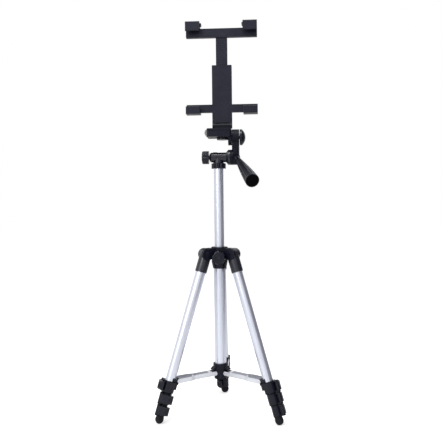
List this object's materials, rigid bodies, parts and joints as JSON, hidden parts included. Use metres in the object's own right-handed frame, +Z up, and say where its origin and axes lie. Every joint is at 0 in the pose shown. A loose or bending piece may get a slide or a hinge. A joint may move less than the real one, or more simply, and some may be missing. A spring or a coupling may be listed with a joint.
{
  "type": "adjustable tablet floor stand",
  "caption": "Folding floor tripod with telescopic legs, a sliding centre column, a pan and tilt head with a handle, and a spring-jaw style holder for a tablet.",
  "frame": {"origin": "on the centre column's axis at floor level", "axes": "+Z up; +Y towards the rear leg; -Y is the side that the tablet's screen and the pan handle face; +X to the right as seen from -Y"},
  "size_m": [0.1973, 0.2225, 0.6153],
  "materials": {
    "anodised_tube": "satin anodised, silver with a faint lavender tint",
    "brace_steel": "bright pressed steel",
    "steel": "plain steel",
    "foot_rubber": "matte rubber",
    "pad_rubber": "matte rubber",
    "knob_plastic": "fine texture",
    "wheel_plastic": "grey, ribbed",
    "grip_plastic": "fine texture",
    "holder_plastic": "satin moulded",
    "lever_plastic": "satin moulded",
    "body_plastic": "satin moulded"
  },
  "bodies": {
    "hub": {"hub_body": "body_plastic", "leg_pivot_pins": "steel", "guide_tube": "anodised_tube"},
    "column": {"column_tube": "anodised_tube", "column_cap": "body_plastic"},
    "column_lock": {"column_lock_knob": "knob_plastic"},
    "spreader": {"spreader_hub": "body_plastic"},
    "pan": {"pan_base": "body_plastic"},
    "pan_lock": {"pan_lock_knob": "knob_plastic"},
    "tilt": {"tilt_body": "body_plastic"},
    "handle": {"handle_rod": "steel", "handle_grip": "grip_plastic"},
    "platform": {"platform": "body_plastic", "holder_foot": "holder_plastic"},
    "flip_lock": {"flip_lock_knob": "knob_plastic"},
    "camera_screw": {"camera_screw": "knob_plastic"},
    "release_wheel": {"release_wheel": "wheel_plastic"},
    "holder": {"holder_body": "holder_plastic", "lower_pads": "pad_rubber"},
    "holder_slider": {"holder_slider": "holder_plastic", "upper_pads": "pad_rubber"},
    "leg_1": {"leg_1_shoulder": "body_plastic", "leg_1_tube_1": "anodised_tube", "leg_1_lock_1": "body_plastic"},
    "leg_1_section_2": {"leg_1_tube_2": "anodised_tube", "leg_1_lock_2": "body_plastic"},
    "leg_1_section_3": {"leg_1_tube_3": "anodised_tube", "leg_1_lock_3": "body_plastic"},
    "leg_1_section_4": {"leg_1_tube_4": "anodised_tube", "leg_1_foot": "foot_rubber"},
    "leg_1_lever_1": {"leg_1_lever_1": "lever_plastic"},
    "leg_1_lever_2": {"leg_1_lever_2": "lever_plastic"},
    "leg_1_lever_3": {"leg_1_lever_3": "lever_plastic"},
    "brace_1": {"brace_1": "brace_steel"},
    "leg_2": {"leg_2_shoulder": "body_plastic", "leg_2_tube_1": "anodised_tube", "leg_2_lock_1": "body_plastic"},
    "leg_2_section_2": {"leg_2_tube_2": "anodised_tube", "leg_2_lock_2": "body_plastic"},
    "leg_2_section_3": {"leg_2_tube_3": "anodised_tube", "leg_2_lock_3": "body_plastic"},
    "leg_2_section_4": {"leg_2_tube_4": "anodised_tube", "leg_2_foot": "foot_rubber"},
    "leg_2_lever_1": {"leg_2_lever_1": "lever_plastic"},
    "leg_2_lever_2": {"leg_2_lever_2": "lever_plastic"},
    "leg_2_lever_3": {"leg_2_lever_3": "lever_plastic"},
    "brace_2": {"brace_2": "brace_steel"},
    "leg_3": {"leg_3_shoulder": "body_plastic", "leg_3_tube_1": "anodised_tube", "leg_3_lock_1": "body_plastic"},
    "leg_3_section_2": {"leg_3_tube_2": "anodised_tube", "leg_3_lock_2": "body_plastic"},
    "leg_3_section_3": {"leg_3_tube_3": "anodised_tube", "leg_3_lock_3": "body_plastic"},
    "leg_3_section_4": {"leg_3_tube_4": "anodised_tube", "leg_3_foot": "foot_rubber"},
    "leg_3_lever_1": {"leg_3_lever_1": "lever_plastic"},
    "leg_3_lever_2": {"leg_3_lever_2": "lever_plastic"},
    "leg_3_lever_3": {"leg_3_lever_3": "lever_plastic"},
    "brace_3": {"brace_3": "brace_steel"}
  },
  "joints": [
    {"name": "leg_1_fold", "type": "hinge", "parent": "hub", "child": "leg_1", "pos_m": [0, 0.0241, 0.251], "axis": [-1, 0, 0], "range_deg": [0, 18]},
    {"name": "leg_1_extend_1", "type": "slide", "parent": "leg_1", "child": "leg_1_section_2", "axis": [0, 0.3102, -0.9507], "range_m": [0, 0.17]},
    {"name": "leg_1_lever_1_open", "type": "hinge", "parent": "leg_1", "child": "leg_1_lever_1", "pos_m": [0.00719, 0.09978, 0.05759], "axis": [0, 0.3102, -0.9507], "range_deg": [0, 95]},
    {"name": "leg_1_extend_2", "type": "slide", "parent": "leg_1_section_2", "child": "leg_1_section_3", "axis": [0, 0.3102, -0.9507], "range_m": [0, 0.17]},
    {"name": "leg_1_lever_2_open", "type": "hinge", "parent": "leg_1_section_2", "child": "leg_1_lever_2", "pos_m": [0.00644, 0.10403, 0.04056], "axis": [0, 0.3102, -0.9507], "range_deg": [0, 95]},
    {"name": "leg_1_extend_3", "type": "slide", "parent": "leg_1_section_3", "child": "leg_1_section_4", "axis": [0, 0.3102, -0.9507], "range_m": [0, 0.17]},
    {"name": "leg_1_lever_3_open", "type": "hinge", "parent": "leg_1_section_3", "child": "leg_1_lever_3", "pos_m": [-0.00947, 0.10468, 0.02237], "axis": [0, 0.3102, -0.9507], "range_deg": [0, 95]},
    {"name": "brace_1_fold", "type": "hinge", "parent": "spreader", "child": "brace_1", "pos_m": [0, 0.0125, 0.0647], "axis": [-1, 0, 0], "range_deg": [0, 87]},
    {"name": "leg_2_fold", "type": "hinge", "parent": "hub", "child": "leg_2", "pos_m": [-0.02087, -0.01205, 0.251], "axis": [0.5, -0.866, 0], "range_deg": [0, 18]},
    {"name": "leg_2_extend_1", "type": "slide", "parent": "leg_2", "child": "leg_2_section_2", "axis": [-0.2686, -0.1551, -0.9507], "range_m": [0, 0.17]},
    {"name": "leg_2_lever_1_open", "type": "hinge", "parent": "leg_2", "child": "leg_2_lever_1", "pos_m": [-0.08812, -0.03665, 0.05591], "axis": [-0.2686, -0.1551, -0.9507], "range_deg": [0, 95]},
    {"name": "leg_2_extend_2", "type": "slide", "parent": "leg_2_section_2", "child": "leg_2_section_3", "axis": [-0.2686, -0.1551, -0.9507], "range_m": [0, 0.17]},
    {"name": "leg_2_lever_2_open", "type": "hinge", "parent": "leg_2_section_2", "child": "leg_2_lever_2", "pos_m": [-0.08706, -0.05748, 0.0406], "axis": [-0.2686, -0.1551, -0.9507], "range_deg": [0, 95]},
    {"name": "leg_2_extend_3", "type": "slide", "parent": "leg_2_section_3", "child": "leg_2_section_4", "axis": [-0.2686, -0.1551, -0.9507], "range_m": [0, 0.17]},
    {"name": "leg_2_lever_3_open", "type": "hinge", "parent": "leg_2_section_3", "child": "leg_2_lever_3", "pos_m": [-0.09109, -0.05897, 0.02357], "axis": [-0.2686, -0.1551, -0.9507], "range_deg": [0, 95]},
    {"name": "brace_2_fold", "type": "hinge", "parent": "spreader", "child": "brace_2", "pos_m": [-0.01082, -0.00625, 0.0647], "axis": [0.5, -0.866, 0], "range_deg": [0, 87]},
    {"name": "leg_3_fold", "type": "hinge", "parent": "hub", "child": "leg_3", "pos_m": [0.02087, -0.01205, 0.251], "axis": [0.5, 0.866, 0], "range_deg": [0, 18]},
    {"name": "leg_3_extend_1", "type": "slide", "parent": "leg_3", "child": "leg_3_section_2", "axis": [0.2686, -0.1551, -0.9507], "range_m": [0, 0.17]},
    {"name": "leg_3_lever_1_open", "type": "hinge", "parent": "leg_3", "child": "leg_3_lever_1", "pos_m": [0.08805, -0.05084, 0.0582], "axis": [0.2686, -0.1551, -0.9507], "range_deg": [0, 95]},
    {"name": "leg_3_extend_2", "type": "slide", "parent": "leg_3_section_2", "child": "leg_3_section_3", "axis": [0.2686, -0.1551, -0.9507], "range_m": [0, 0.17]},
    {"name": "leg_3_lever_2_open", "type": "hinge", "parent": "leg_3_section_2", "child": "leg_3_lever_2", "pos_m": [0.09156, -0.05286, 0.04112], "axis": [0.2686, -0.1551, -0.9507], "range_deg": [0, 95]},
    {"name": "leg_3_extend_3", "type": "slide", "parent": "leg_3_section_3", "child": "leg_3_section_4", "axis": [0.2686, -0.1551, -0.9507], "range_m": [0, 0.17]},
    {"name": "leg_3_lever_3_open", "type": "hinge", "parent": "leg_3_section_3", "child": "leg_3_lever_3", "pos_m": [0.09507, -0.05489, 0.02403], "axis": [0.2686, -0.1551, -0.9507], "range_deg": [0, 95]},
    {"name": "brace_3_fold", "type": "hinge", "parent": "spreader", "child": "brace_3", "pos_m": [0.01082, -0.00625, 0.0647], "axis": [0.5, 0.866, 0], "range_deg": [0, 87]},
    {"name": "spreader_slide", "type": "slide", "parent": "hub", "child": "spreader", "axis": [0, 0, 1], "range_m": [0, 0.0531]},
    {"name": "column_slide", "type": "slide", "parent": "hub", "child": "column", "axis": [0, 0, 1], "range_m": [-0.116, 0.03]},
    {"name": "column_lock_turn", "type": "hinge", "parent": "hub", "child": "column_lock", "pos_m": [0, -0.017, 0.2464], "axis": [0, -1, 0], "range_deg": [0, 360]},
    {"name": "pan", "type": "hinge", "parent": "column", "child": "pan", "pos_m": [0, 0, 0.4027], "axis": [0, 0, 1], "continuous": true},
    {"name": "pan_lock_turn", "type": "hinge", "parent": "pan", "child": "pan_lock", "pos_m": [-0.0152, 0, 0.4027], "axis": [-1, 0, 0], "range_deg": [0, 360]},
    {"name": "tilt", "type": "hinge", "parent": "pan", "child": "tilt", "pos_m": [0.0184, 0, 0.4027], "axis": [1, 0, 0], "range_deg": [-45, 60]},
    {"name": "handle_twist", "type": "hinge", "parent": "tilt", "child": "handle", "pos_m": [0.027, -0.008, 0.404], "axis": [0.2447, -0.8943, -0.3746], "range_deg": [0, 360]},
    {"name": "platform_tilt", "type": "hinge", "parent": "tilt", "child": "platform", "pos_m": [0.0216, 0, 0.434], "axis": [1, 0, 0], "range_deg": [-60, 60]},
    {"name": "flip_lock_turn", "type": "hinge", "parent": "tilt", "child": "flip_lock", "pos_m": [0.0327, 0, 0.434], "axis": [1, 0, 0], "range_deg": [0, 360]},
    {"name": "camera_screw_turn", "type": "hinge", "parent": "platform", "child": "camera_screw", "pos_m": [0.0065, 0, 0.434], "axis": [0, 0, -1], "range_deg": [0, 360]},
    {"name": "release_wheel_turn", "type": "hinge", "parent": "platform", "child": "release_wheel", "pos_m": [-0.0144, 0, 0.4409], "axis": [0, 1, 0], "range_deg": [0, 90]},
    {"name": "holder_fold", "type": "hinge", "parent": "platform", "child": "holder", "pos_m": [0.0065, 0, 0.4524], "axis": [1, 0, 0], "range_deg": [-60, 15]},
    {"name": "holder_slide", "type": "slide", "parent": "holder", "child": "holder_slider", "axis": [0, 0, 1], "range_m": [-0.015, 0.055]}
  ],
  "couplings": [
    {"joint": "brace_1_fold", "follows": "leg_1_fold", "ratio": 4.828},
    {"joint": "brace_2_fold", "follows": "leg_1_fold", "ratio": 4.828},
    {"joint": "leg_2_fold", "follows": "leg_1_fold", "ratio": 1},
    {"joint": "brace_3_fold", "follows": "leg_1_fold", "ratio": 4.828},
    {"joint": "leg_3_fold", "follows": "leg_1_fold", "ratio": 1},
    {"joint": "spreader_slide", "follows": "leg_1_fold", "m_per_rad": 0.16857}
  ]
}
